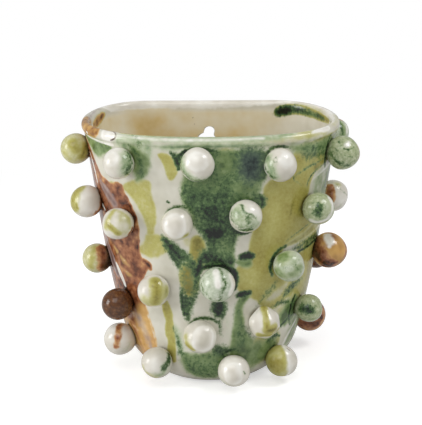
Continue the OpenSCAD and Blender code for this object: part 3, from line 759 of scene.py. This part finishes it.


# The rows of balls: name, share of the way up from the lowest row, and for each ball its turn,
# its lift over the row and its size over the usual one in millimetres, its own glaze, and the
# marks on it as glaze, level, half width in millimetres and the places that the mark runs through.
# Some of these marks are painted highlights and painted shade, as noted at them.
ROWS = [
    ("rim", 1, [
        (-83, 0, -1, "straw", [
            ("olive", 0.85, 5, (-0.1, 0.3), (0.2, -0.2)), ("olive", 0.6, 4, (-0.7, -0.3), (-0.2, -0.8)),
            # The dark mark at its right edge, where it meets the wall, is painted shade.
            ("olive", 1.1, 4, (0.5, -0.5), (0.75, 0.1)), ("dark", 0.6, 4, (0.85, -0.45), (0.95, 0.1)),
        ]),
        (-39, 0, -1, "cream", [
            # The light cream mark at its upper left is a painted highlight.
            ("cream", 0.42, 8, (-0.4, 0.3)), ("green", 0.64, 5.4, (0.72, 0.6), (0.82, 0), (0.6, -0.6)),
            ("pale", 0.8, 7, (0.5, 0.5), (0.5, -0.5)),
        ]),
        (-4, 2, 0.5, "cream", [
            # The lighter cream mark at its top is painted light.
            ("cream", 0.45, 10, (0, 0.2)),
            ("pale", 0.9, 4.6, (-0.9, 0.2), (-0.7, -0.5), (-0.1, -0.9), (0.5, -0.9)),
            ("green", 0.66, 3.6, (-0.97, 0.1), (-0.8, -0.5), (-0.2, -0.9), (0.6, -0.8)),
        ]),
        (27, 0, 0, "cream", [
            # The light cream mark at its upper right is a painted highlight.
            ("cream", 0.42, 8, (0.4, 0.3)), ("pale", 0.9, 5.4, (-0.8, 0.4), (-0.6, -0.1), (-0.45, -0.7)),
            ("green", 0.72, 2.8, (-0.95, 0.2), (-0.8, -0.4), (-0.4, -0.8)),
            ("green", 0.6, 0.8, (-0.28, 0.42), (-0.44, 0.3), (-0.4, 0.1), (-0.24, 0.12), (-0.2, 0.32)),
            ("green", 0.6, 1.2, (-0.45, -0.1), (-0.4, -0.5)),
        ]),
        (71, 0, 1, "moss", [
            # The cream mark at its upper right is a painted highlight.
            ("cream", 0.42, 3, (0.3, 0.6), (0.2, 0.4)), ("brown", 0.8, 3, (0.95, 0.3), (0.95, -0.3)),
            ("green", 0.72, 4, (-0.8, -0.1), (-0.4, -0.6), (0.3, -0.8)),
            ("green", 0.85, 0.9, (-0.3, 0.6), (-0.1, 0.2), (0.3, 0.1), (0.6, 0.3)),
            ("green", 0.85, 0.8, (-0.5, 0.2), (-0.1, -0.2), (0.5, -0.3)),
        ]),
        (119, 0, -0.5, "mint", [
            ("sage", 0.7, 5, (0.4, 0.5), (0.6, -0.3)),
            ("green", 0.8, 2.4, (0.2, 0.8), (0.45, 0.3), (0.5, -0.3)),
            # The light cream mark on its right edge is a painted highlight.
            ("cream", 0.42, 2, (0.8, 0.45), (0.85, 0)), ("brown", 0.8, 1.4, (0, 0.97), (0.5, 0.82)),
        ]),
    ]),
    ("upper", 0.72, [
        (-73, 4, 0.5, "cream", [
            ("olive", 0.8, 5.6, (-0.75, -0.4), (-0.7, 0.3), (-0.35, 0.85)),
            ("olive", 1.1, 1.2, (-0.55, -0.2), (-0.5, -0.45)),
            # The brown down its right side, where it meets the wall, is painted shade.
            ("brown", 0.85, 4, (0.95, 0.3), (0.9, -0.4), (0.6, -0.85)),
        ]),
        (-44, -5, -0.5, "cream", [
            ("straw", 0.5, 9, (0.5, 0.4), (0.4, -0.5)),
            ("olive", 0.66, 3.4, (-0.2, 0.85), (-0.5, 0.4), (-0.75, -0.2)),
            ("olive", 1.05, 2.2, (-0.6, -0.05), (-0.3, -0.3), (0.1, -0.65)),
            ("olive", 0.6, 3, (0.1, 0.8), (0.7, 0.4), (0.75, -0.3)),
            ("brown", 0.8, 1.8, (0.75, -0.6), (0.9, -0.3)),
        ]),
        (-13, -1, -0.5, "cream", [
            # The darker cream over its middle is painted shade.
            ("cream", 0.7, 8, (-0.1, 0), (-0.1, -0.4)),
            ("olive", 0.8, 2.6, (-0.5, -0.62), (0, -0.8), (0.6, -0.66)),
            ("pale", 0.8, 2.6, (-0.9, 0.4), (-0.5, 0.85), (0.2, 0.97), (0.8, 0.6)),
        ]),
        (13, 5, 0.5, "cream", [
            ("pale", 0.72, 9, (-0.5, 0.3), (-0.3, -0.3), (0.5, -0.5)),
            ("green", 0.5, 6, (-0.9, 0.2), (-0.6, -0.5), (0.1, -0.8)),
            ("green", 0.75, 1.6, (-0.28, 0.68), (-0.15, 0.28), (0.12, 0.12), (0.55, -0.08)),
            ("green", 0.75, 3.2, (0.05, -0.05), (0.15, -0.3)), ("green", 0.9, 3, (-0.2, -0.85), (0.3, -0.8)),
        ]),
        (53, 4, 0, "moss", [
            ("pale", 0.6, 6, (0.4, 0.2)), ("green", 0.95, 4, (0.05, 0.05), (-0.1, -0.3)),
            ("cream", 0.48, 2.6, (0.7, 0.6), (0.88, 0.1), (0.6, -0.65), (0, -0.9), (-0.5, -0.75)),
        ]),
        (105, -5, 0.5, "cream", [
            ("brown", 1.1, 3, (-0.24, 0.5), (-0.16, 0.1), (-0.16, -0.2)),
            ("green", 0.6, 1.2, (0.2, 0.7), (0.5, 0.3), (0.9, 0)), ("straw", 0.6, 5, (0.3, 0.7)),
            ("pale", 0.7, 2, (0.6, -0.6), (0.2, -0.85)),
        ]),
    ]),
    ("middle", 0.43, [
        (-77, 0, -1.5, "straw", [
            ("olive", 0.75, 4, (-0.1, 0.8), (-0.2, 0.1), (-0.4, -0.6)),
            ("brown", 0.9, 5, (0.42, 0.6), (0.42, -0.6)), ("dark", 0.9, 4.6, (0.85, 0.5), (0.75, -0.5)),
        ]),
        (-27, -10, 0, "cream", [
            ("straw", 0.8, 6, (-0.5, -0.6), (0.2, -0.7), (0.8, 0)),
            ("olive", 0.9, 5.4, (0.2, 0.6), (0.3, -0.2), (0.2, -0.6)),
            ("olive", 1.1, 2, (-0.05, 0.35), (0.3, 0.2)),
        ]),
        (2, -3, 2, "mint", [
            ("cream", 0.57, 2.6, (-0.08, 0.8), (0.05, -0.05)),
            ("cream", 0.57, 4.2, (0.85, 0.4), (0.8, -0.4)),
            ("green", 0.8, 2, (0.15, 0.9), (0.3, 0.4), (0.52, 0.02), (0.3, -0.3), (0.1, -0.9)),
            ("green", 0.62, 2.4, (-0.9, 0.2), (-0.75, -0.4), (-0.3, -0.8)),
        ]),
        (37, 7, -0.5, "mint", [
            ("sage", 0.72, 9, (-0.4, 0.6)), ("olive", 0.5, 6, (-0.3, 0.4)),
            ("sage", 0.62, 7, (-0.7, -0.4), (0.1, -0.65), (0.7, -0.2)), ("pale", 0.7, 8, (0.2, 0.5)),
            ("green", 0.62, 1.6, (0.5, -0.15), (0.8, -0.35)),
            ("green", 0.5, 2.4, (-0.2, -0.1), (0.3, 0), (0.6, 0.4)),
            ("cream", 0.36, 1.2, (0.6, 0.75), (0.97, 0.1), (0.7, -0.65), (0, -0.97)),
        ]),
        (75, 7, 3, "amber", [
            # The brown down its left side is brown glaze and painted shade by the wall; the dark mark at its
            # left edge is painted shade.
            ("brown", 0.95, 7, (-0.85, 0.4), (-0.6, -0.3), (-0.1, -0.8)),
            ("brown", 0.7, 4, (0.9, 0.3), (0.9, -0.3)), ("cream", 0.57, 3.4, (-0.1, 0.85), (0, 0.5)),
            ("cream", 0.51, 2, (0, 0.5), (-0.05, 0.2)), ("dark", 0.55, 4, (-0.95, 0.4), (-0.85, -0.3)),
        ]),
        (117, -13, 1, "umber", []),
    ]),
    ("lower", 0.2, [
        (-55, 7, 0, "umber", []),
        (-5, -9, 1, "cream", [
            # The darker cream over its middle is painted shade.
            ("cream", 0.76, 8, (0.3, 0.1), (0.25, -0.3)), ("olive", 1.0, 2.6, (-0.74, -0.4), (-0.46, -0.68)),
            ("straw", 0.8, 4, (-0.85, 0), (-0.6, -0.5)),
        ]),
        (62, 0, -2.5, "moss", [
            ("green", 0.95, 4.4, (-0.4, 0), (0.1, -0.1)),
            ("cream", 0.48, 1.4, (-0.5, -0.85), (0.3, -0.93), (0.9, -0.4)),
        ]),
    ]),
    ("foot", 0, [
        (-63, 6, 0.5, "cream", [
            ("brown", 0.74, 3, (0.02, 0.9), (-0.06, 0.3), (-0.14, -0.1), (-0.18, -0.42)),
            ("pale", 0.6, 4, (0.7, -0.2), (0.4, -0.7)),
        ]),
        (-31, -1, -0.5, "cream", [
            ("olive", 0.6, 4, (-0.85, -0.3), (-0.6, -0.65), (-0.1, -0.9)),
            ("green", 0.95, 2.4, (0.8, 0.5), (0.78, 0.05), (0.45, -0.35)),
            ("pale", 0.8, 4.6, (0.6, -0.2), (0.4, -0.7), (0, -0.8)),
        ]),
        (11, -4, 0, "cream", [
            # The darker cream over its middle is painted shade.
            ("cream", 0.76, 6, (-0.1, 0.1), (0, -0.4)), ("green", 0.8, 0.8, (0.6, 0.05), (0.7, -0.15)),
            ("pale", 0.6, 3, (-0.8, -0.4), (-0.3, -0.9)),
        ]),
        (43, -3, 0, "olive", [
            ("cream", 0.69, 8.6, (0.7, 0.7), (0.85, 0), (0.85, -0.6)), ("olive", 0.85, 10, (-0.4, -0.2)),
            ("dark", 0.62, 0.8, (0.34, 0.82), (0.5, 0.7)),
        ]),
        # The brown mark over it darkens the ball as painted shade.
        (102, 6, 2.5, "brown", [("brown", 0.8, 14, (0.2, -0.2))]),
    ]),
]
# The lump that isn't round: share of the way up, and the rest as for a ball. Its bumps are down,
# sideways, outwards and diameter in shares of its size.
NUGGET_SHARE = 0.2
NUGGET = (26, 0, 0, "cream", [
    ("olive", 1.1, 2.4, (-0.05, 0.95), (0.05, 0.3), (0.1, -0.3)),
    ("olive", 1.1, 4, (0.2, -0.5), (0.6, -0.4)),
    ("olive", 1.0, 2.4, (-0.4, -0.8), (0.2, -0.85), (0.9, -0.5)),
])
NUGGET_BUMPS = [
    (-0.24, -0.02, 0, 0.54),
    (-0.1, 0.18, 0.02, 0.54),
    (-0.02, -0.2, 0, 0.6),
    (0, 0, 0.18, 0.64),
    (0, 0, -0.18, 0.64),
    (0.14, 0.24, 0, 0.5),
    (0.17, -0.15, 0, 0.56),
    (0.24, 0.02, 0, 0.54),
]
# Every lump of clay on the wall: its CAD node, its share of the way up and its place
BALLS = [
    (f"{row}_ball_{number}", share, place)
    for row, share, places in ROWS
    for number, place in enumerate(places, 1)
]
BALLS.append(("lower_nugget", NUGGET_SHARE, NUGGET))


def seat_of(share, place):
    """Where a ball sits on the wall, the direction out of the wall there, its middle and its size."""
    turn, lift, extra = place[:3]
    z = FOOT_ROW_Z + share * (BODY_H - RIM_ROW_DROP - FOOT_ROW_Z) + lift * MM
    size = BALL_D + extra * MM
    seat, out = wall_point(turn, z), wall_normal(turn, z)
    return seat, out, seat + out * (size / 2 - BALL_PRESS), size


def pooled(points):
    """How much glaze gathers at points of the vessel close to the balls, which also paints the shade where
    they meet the wall.
    """
    pool = np.zeros(len(points))
    for _, share, place in BALLS:
        _, _, middle, size = seat_of(share, place)
        gap = np.linalg.norm(points - middle, axis=1) - size / 2
        pool = np.maximum(pool, np.clip(1 - gap / POOL_AND_SHADE_W, 0, 1))
    return pool


def ball_directions():
    """Points of a fine round ball, as directions, and its faces."""
    mesh = bmesh.new()
    bmesh.ops.create_icosphere(mesh, subdivisions=BALL_FINENESS, radius=1)
    mesh.verts.ensure_lookup_table()
    points = np.array([v.co for v in mesh.verts])
    faces = [[v.index for v in f.verts] for f in mesh.faces]
    mesh.free()
    return points / np.linalg.norm(points, axis=1)[:, None], faces


def rolled(directions, radius, own):
    """Distance from the middle at each direction of a ball rolled between two hands. The waves
    have unequal factors and the ball's own number in them, so that no two balls are alike."""
    a, b, c = directions.T * BALL_WAVES
    sideways = np.sin(a + own) * np.cos(1.3 * b - own)
    upwards = np.sin(1.7 * c + 2.3 * own) * np.cos(a - 1.1 * own)
    return radius + BALL_STRAY * (sideways + upwards - 1)


def pinched(directions, down, side, out, size):
    """Distance from the middle at each direction of the lump, the hull of its bumps."""
    bumps = np.array(NUGGET_BUMPS)
    middles = (bumps[:, :1] * down + bumps[:, 1:2] * side + bumps[:, 2:3] * out) * size
    facing = directions @ directions.T
    holds = (directions @ middles.T + bumps[:, 3] * size / 2).max(1)
    reach = np.where(facing > LEAST_FACING, holds[None, :] / np.maximum(facing, LEAST_FACING), np.inf)
    return reach.min(1)


def make_ball(name, share, place, directions, faces):
    """A lump of clay on its seat, with the slip round it and its glazes."""
    turn, glaze, marks = place[0], place[3], place[4]
    seat, out, middle, size = seat_of(share, place)
    side = np.cross([0, 0, 1], out)
    side /= np.linalg.norm(side)
    if place is NUGGET:
        reach = pinched(directions, np.cross(side, out), side, out, size)
    else:
        reach = rolled(directions, size / 2, turn * OWN_FOR_TURN + seat[2] * OWN_FOR_HEIGHT)
    points = middle + directions * reach[:, None]
    height = (points - seat) @ out
    spread = (points - seat) - height[:, None] * out
    swell = SLIP_W * np.clip(1 - height / SLIP_H, 0, 1) ** 2
    points += spread * (swell / np.maximum(np.linalg.norm(spread, axis=1), LEAST_SPREAD))[:, None]
    points += out * np.maximum(0, -SEAT_DEPTH - height)[:, None]
    painted = {layer: np.zeros(len(points)) for layer in LAYERS}
    for layer, level, half_width, *places in marks:
        line = np.array([seen(x, y) for x, y in places]) * size / 2
        line = flowing(line) if len(line) > 2 else np.vstack([line, line[-1:] + DOT])
        width = half_width * MM
        depth = depth_in_run(directions * size / 2, line, np.full(len(line), width))
        painted[layer] = np.maximum(painted[layer], strength(depth, level, min(FADE, FADE_SHARE * width)))
    # Darker where glaze gathers at the seat, which also paints the shade where the ball meets the wall
    painted[POOL_AND_SHADE] = np.clip(1 - height / POOL_AND_SHADE_W, 0, 1)
    ball = new_mesh("glazed_" + name, points, faces, painted)
    ball.data.materials.append(glaze_material(glaze))
    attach(ball, "root")
    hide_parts(name)


def rgb(red, green, blue):
    """A colour as a screen shows it, from 0 to 255, in the linear values that the nodes take."""
    shares = [v / 255 for v in (red, green, blue)]
    return tuple(s / 12.92 if s <= 0.04045 else ((s + 0.055) / 1.055) ** 2.4 for s in shares) + (1.0,)


# Each glaze's own colours on a screen, where it is thin, usual, thick and pooled
COLOURS = {
    "vessel": ((222, 219, 207), (208, 205, 190), (196, 192, 175), (184, 180, 160)),
    "tan": ((234, 227, 207), (226, 214, 182), (218, 196, 146), (206, 178, 116)),
    "straw": ((216, 212, 182), (198, 195, 148), (180, 176, 116), (150, 146, 84)),
    "pale": ((208, 212, 190), (184, 194, 162), (154, 170, 132), (116, 140, 102)),
    "olive": ((198, 196, 144), (180, 175, 102), (160, 151, 74), (120, 113, 46)),
    "sage": ((182, 190, 152), (146, 162, 114), (112, 134, 80), (74, 96, 54)),
    "green": ((136, 158, 108), (84, 112, 66), (40, 64, 36), (12, 22, 12)),
    "slate": ((112, 128, 108), (80, 98, 84), (50, 66, 60), (28, 40, 36)),
    "brown": ((206, 160, 102), (160, 106, 70), (114, 64, 38), (56, 30, 16)),
    "lilac": ((192, 184, 180), (166, 150, 146), (138, 114, 108), (108, 84, 78)),
    "cream": ((238, 236, 228), (219, 214, 202), (204, 199, 184), (188, 182, 162)),
    "dark": ((110, 84, 52), (70, 50, 30), (44, 32, 20), (28, 20, 14)),
    "clay": ((202, 128, 92), (186, 108, 72), (168, 92, 58), (148, 78, 48)),
    "mint": ((214, 218, 204), (192, 200, 178), (158, 172, 142), (118, 136, 100)),
    "moss": ((202, 207, 178), (170, 179, 140), (122, 138, 96), (70, 88, 54)),
    "amber": ((222, 184, 112), (196, 152, 86), (142, 98, 52), (88, 56, 26)),
    "umber": ((136, 92, 54), (94, 58, 32), (64, 38, 20), (38, 22, 12)),
}
# How each glaze lies: the grain that breaks its edge and how far that shifts it, the strengths
# at which it begins to show and covers, and the grain of its own colours and how far that goes
LAYS = {
    "tan": ("coarse", 0.09, 0.1, 0.6, "coarse", 0.2),
    "straw": ("medium", 0.3, 0.25, 0.65, "medium", 0.8),
    "pale": ("sponge", 0.7, 0.22, 0.85, "medium", 0.9),
    "olive": ("medium", 0.45, 0.25, 0.6, "sponge", 0.5),
    "sage": ("medium", 0.4, 0.25, 0.75, "medium", 0.9),
    "green": ("sponge", 0.9, 0.28, 0.68, "sponge", 1.2),
    "slate": ("sponge", 0.6, 0.25, 0.85, "sponge", 1.0),
    "brown": ("medium", 0.5, 0.3, 0.5, "medium", 1.3),
    "amber": ("medium", 0.6, 0.25, 0.6, "medium", 0.9),
    "lilac": ("medium", 0.6, 0.3, 0.8, "streak", 1.0),
    "cream": ("medium", 0.25, 0.2, 0.4, "coarse", 0.5),
    "dark": ("fine", 0.3, 0.25, 0.6, "fine", 0.6),
    "clay": ("medium", 0.1, 0.4, 0.6, "fine", 0.8),
}
# Strengths at which a glaze is thin, usual, thick and pooled, and the usual one of a whole coat
THICKNESS = (0.32, 0.58, 0.82, 1.0)
WHOLE_COAT = 0.6
# How far a whole coat varies, and how far every glaze varies with the coarse grain
COAT_VARIES = 1.0
COARSE_VARIES = 0.4
# The coats that are mottled
MOTTLED = ("mint", "moss", "umber", "straw")
# What glaze that has pooled round a seat is darkened by, which also paints the shade there, and how much of
# that shows at most
POOL_AND_SHADE_TINT = (0.30, 0.28, 0.20, 1)
POOL_AND_SHADE_SHARE = 0.85
# How high the glaze builds up: a piece's own coat, each glaze laid over it, and the grain
OWN_BUILD = 0.5
LAID_BUILD = 0.3
GRAIN_BUILD = 0.6
BUMP_STRENGTH = 0.25
BUMP_DEPTH = 0.0003
# The glaze's least roughness, how much it varies, and its index of refraction
LEAST_ROUGH = 0.12
ROUGH_VARIES = 0.12
GLAZE_IOR = 1.5
# The grains: size in metres, detail, roughness and how much it is drawn out upright
GRAINS = {
    "fine": (0.0009, 3, 0.6, 1),
    "sponge": (0.0026, 5, 0.66, 1),
    "medium": (0.0060, 3, 0.5, 1),
    "coarse": (0.0140, 2, 0.5, 1),
    "streak": (0.0070, 4, 0.55, 2.6),
}


class Shader:
    """Short calls that make the nodes of a material or of the world. A mix node takes its colours
    at inputs 6 and 7 and gives the mixed one at output 2."""

    def __init__(self, owner):
        owner.use_nodes = True
        self.tree = owner.node_tree
        self.tree.nodes.clear()

    def add(self, kind, inputs=None, **settings):
        node = self.tree.nodes.new(kind)
        for key, value in settings.items():
            setattr(node, key, value)
        for key, value in (inputs or {}).items():
            if isinstance(value, bpy.types.NodeSocket):
                self.tree.links.new(value, node.inputs[key])
            else:
                node.inputs[key].default_value = value
        return node

    def math(self, operation, *values):
        return self.add("ShaderNodeMath", dict(enumerate(values)), operation=operation).outputs[0]

    def mix(self, share, under, over):
        return self.add("ShaderNodeMix", {0: share, 6: under, 7: over}, data_type="RGBA").outputs[2]

    def tinted(self, colour, tint):
        inputs = {0: 1.0, 6: colour, 7: tint}
        return self.add("ShaderNodeMix", inputs, data_type="RGBA", blend_type="MULTIPLY").outputs[2]

    def rise(self, value, low, high):
        """0 below low and 1 above high, with a smooth rise between them."""
        inputs = {"Value": value, "From Min": low, "From Max": high}
        return self.add("ShaderNodeMapRange", inputs, interpolation_type="SMOOTHSTEP").outputs[0]

    def ramp(self, value, colours):
        """The colours at their thicknesses, with an even change between them."""
        node = self.add("ShaderNodeValToRGB", {"Fac": value})
        stops = node.color_ramp.elements
        stops[0].position, stops[1].position = THICKNESS[0], THICKNESS[-1]
        for place in THICKNESS[1:-1]:
            stops.new(place)
        for stop, colour in zip(stops, colours):
            stop.color = rgb(*colour)
        return node.outputs[0]

    def varied(self, value, grain, share):
        """The value with a grain's share added, which leaves its mean as it is."""
        return self.math("MULTIPLY_ADD", self.math("SUBTRACT", grain, 0.5), share, value)

    def grain(self, name, where):
        size, detail, roughness, drawn = GRAINS[name]
        if drawn != 1:
            scale = (1, 1, 1 / drawn)
            where = self.add("ShaderNodeMapping", {"Vector": where, "Scale": scale}).outputs[0]
        inputs = {"Vector": where, "Scale": 1 / size, "Detail": detail, "Roughness": roughness}
        return self.add("ShaderNodeTexNoise", inputs).outputs[0]


def glaze_material(own):
    """Glossy glaze in its own colour, with every other glaze laid over it where it is painted."""
    name = "painted_" + own
    if name in bpy.data.materials:
        return bpy.data.materials[name]
    material = bpy.data.materials.new(name)
    shader = Shader(material)
    where = shader.add("ShaderNodeTexCoord").outputs["Object"]
    grains = {grain: shader.grain(grain, where) for grain in GRAINS}
    coat = grains["sponge" if own in MOTTLED else "coarse"]
    colour = shader.ramp(shader.varied(WHOLE_COAT, coat, COAT_VARIES), COLOURS[own])
    build = OWN_BUILD
    for layer in LAYERS:
        edge, shift, begins, covers, body, varies = LAYS[layer]
        painted = shader.add("ShaderNodeAttribute", attribute_name=layer).outputs["Fac"]
        mask = shader.rise(shader.varied(painted, grains[edge], shift), begins, covers)
        thick = shader.varied(painted, grains[body], varies)
        thick = shader.varied(thick, grains["coarse"], COARSE_VARIES)
        colour = shader.mix(mask, colour, shader.ramp(thick, COLOURS[layer]))
        build = shader.math("ADD", build, shader.math("MULTIPLY", mask, LAID_BUILD))
    # Darkening where glaze gathers round the seats, with painted shade where the balls meet the wall
    pool = shader.add("ShaderNodeAttribute", attribute_name=POOL_AND_SHADE).outputs["Fac"]
    colour = shader.mix(shader.math("MULTIPLY", pool, POOL_AND_SHADE_SHARE), colour, shader.tinted(colour, POOL_AND_SHADE_TINT))
    height = shader.math("ADD", build, shader.math("MULTIPLY", grains["medium"], GRAIN_BUILD))
    inputs = {"Strength": BUMP_STRENGTH, "Distance": BUMP_DEPTH, "Height": height}
    bump = shader.add("ShaderNodeBump", inputs).outputs[0]
    rough = shader.math("MULTIPLY_ADD", grains["coarse"], ROUGH_VARIES, LEAST_ROUGH)
    inputs = {"Base Color": colour, "Roughness": rough, "Normal": bump, "IOR": GLAZE_IOR}
    surface = shader.add("ShaderNodeBsdfPrincipled", inputs)
    shader.add("ShaderNodeOutputMaterial", {"Surface": surface.outputs[0]})
    return material


# The photograph's frame in pixels, and the camera that was fitted to the object in it: its focal
# length and the pixel that it faces, its distance in metres from the pot's middle, how far above
# that it looks from in degrees, its roll in radians and its sensor's width in millimetres
PHOTO_W, PHOTO_H = 422, 425
FOCAL_PIXELS = 1641.7
MIDDLE_PIXEL = (211.1, 236.7)
CAMERA_DISTANCE = 1.3
CAMERA_ELEVATION = 17.4
CAMERA_ROLL = -0.005
SENSOR = 36
POT_MIDDLE = Vector((0, 0, BODY_H / 2))


def make_camera():
    data = bpy.data.cameras.new("camera")
    data.sensor_width = SENSOR
    data.lens = FOCAL_PIXELS * SENSOR / PHOTO_H
    data.shift_x = (PHOTO_W / 2 - MIDDLE_PIXEL[0]) / PHOTO_H
    data.shift_y = (MIDDLE_PIXEL[1] - PHOTO_H / 2) / PHOTO_H
    elevation = math.radians(CAMERA_ELEVATION)
    back = Vector((0, -math.cos(elevation), math.sin(elevation)))
    turned = (-back).to_track_quat("-Z", "Y").to_matrix() @ Matrix.Rotation(CAMERA_ROLL, 3, "Z")
    camera = placed("camera", data)
    camera.matrix_world = Matrix.Translation(POT_MIDDLE + back * CAMERA_DISTANCE) @ turned.to_4x4()
    bpy.context.scene.camera = camera


# Plain level of the light from all round
WORLD_LIGHT = 0.44
# The paper under the pot: its radius in metres, its grey, the white that only the camera sees
# added to it, and where it starts to turn plain white and has done so, from the middle
FLOOR_R = 3.0
PAPER_GREY = 0.78
PAPER_LIFT = 0.5
PAPER_NEAR = 0.25
PAPER_FAR = 0.6
# The soft boxes: name, place, width and height in metres, and power in watts
LAMPS = [
    ("left_box", (-1.15, -0.42, 0.45), (0.5, 0.7), 7.5),
    ("right_box", (0.72, -0.15, 1.05), (0.4, 0.4), 4.5),
    ("front_box", (-0.3, -1.1, 1.35), (1.0, 1.0), 6.6),
]


def seen_directly(shader):
    """1 for what the camera sees itself, and otherwise 0."""
    return shader.add("ShaderNodeLightPath").outputs["Is Camera Ray"]


def make_world():
    world = bpy.data.worlds.new("studio")
    bpy.context.scene.world = world
    shader = Shader(world)
    lit, white = (
        shader.add("ShaderNodeBackground", {"Color": (1, 1, 1, 1), "Strength": level}).outputs[0]
        for level in (WORLD_LIGHT, 1.0)
    )
    both = shader.add("ShaderNodeMixShader", {0: seen_directly(shader), 1: lit, 2: white})
    shader.add("ShaderNodeOutputWorld", {"Surface": both.outputs[0]})


def make_floor():
    mesh = bmesh.new()
    bmesh.ops.create_circle(mesh, cap_ends=True, segments=FLOOR_SIDES, radius=FLOOR_R)
    floor = from_bmesh("floor", mesh)
    material = bpy.data.materials.new("floor_paper")
    shader = Shader(material)
    where = shader.add("ShaderNodeTexCoord").outputs["Object"]
    far = shader.add("ShaderNodeVectorMath", {0: where}, operation="LENGTH").outputs["Value"]
    direct = seen_directly(shader)
    paper = shader.add("ShaderNodeBsdfDiffuse", {"Color": (PAPER_GREY, PAPER_GREY, PAPER_GREY, 1)})
    lift = shader.add("ShaderNodeEmission", {"Strength": shader.math("MULTIPLY", direct, PAPER_LIFT)})
    near = shader.add("ShaderNodeAddShader", {0: paper.outputs[0], 1: lift.outputs[0]})
    white = shader.add("ShaderNodeEmission", {"Strength": 1.0})
    fade = shader.math("MULTIPLY", direct, shader.rise(far, PAPER_NEAR, PAPER_FAR))
    both = shader.add("ShaderNodeMixShader", {0: fade, 1: near.outputs[0], 2: white.outputs[0]})
    shader.add("ShaderNodeOutputMaterial", {"Surface": both.outputs[0]})
    floor.data.materials.append(material)


def make_lamp(name, place, size, power):
    """A soft box that faces the middle of the pot."""
    data = bpy.data.lights.new(name, "AREA")
    data.shape = "RECTANGLE"
    data.size, data.size_y = size
    data.energy = power
    lamp = placed(name, data)
    lamp.location = place
    lamp.rotation_euler = (POT_MIDDLE - Vector(place)).to_track_quat("-Z", "Y").to_euler()


make_camera()
make_world()
make_floor()
for lamp in LAMPS:
    make_lamp(*lamp)

make_vessel()
directions, ball_faces = ball_directions()
for name, share, place in BALLS:
    make_ball(name, share, place, directions, ball_faces)

bpy.context.scene.view_settings.view_transform = "Standard"
